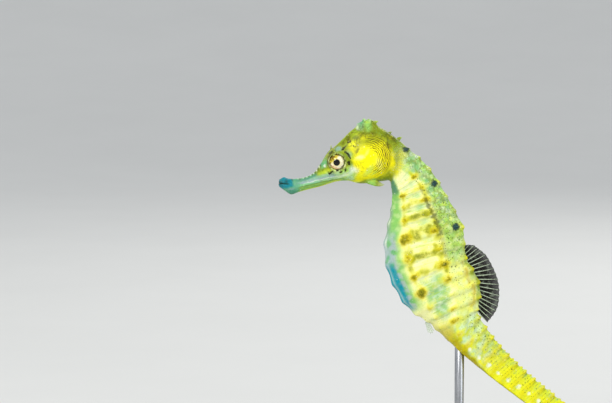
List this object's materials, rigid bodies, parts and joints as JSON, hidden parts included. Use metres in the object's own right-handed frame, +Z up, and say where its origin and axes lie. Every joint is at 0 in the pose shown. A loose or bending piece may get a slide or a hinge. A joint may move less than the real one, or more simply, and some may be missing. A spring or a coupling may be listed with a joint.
{
  "type": "seahorse model",
  "caption": "Life-size still model of a three-spot seahorse with ridged body, small fins and curled tail, held upright on a turned wooden display stand.",
  "frame": {"origin": "centre of the stand's round underside, below the rod", "axes": "+Z up the rod; the animal faces -X and its left side is towards -Y"},
  "size_m": [0.0839, 0.076, 0.1108],
  "materials": {
    "skin": "satin yellow, lime and cream skin with darker ring bands",
    "eye": "wet, domed, gold iris with a black pupil",
    "fin": "thin smoky membrane over pale rays",
    "stand_wood": "oiled dark walnut",
    "stand_brass": "satin turned",
    "stand_steel": "brushed along its length"
  },
  "bodies": {
    "root": {"snout": "skin", "head": "skin", "coronet": "skin", "eye_left": "eye", "eye_right": "eye", "neck": "skin", "trunk_chest": "skin", "trunk_belly": "skin", "tail_1": "skin", "tail_2": "skin", "tail_3": "skin", "tail_4": "skin", "tail_5": "skin", "tail_6": "skin", "fin_dorsal": "fin", "fin_pectoral_left": "fin", "fin_pectoral_right": "fin", "fin_anal": "fin", "stand_base": "stand_wood", "stand_collar": "stand_brass", "stand_rod": "stand_steel"}
  },
  "joints": []
}
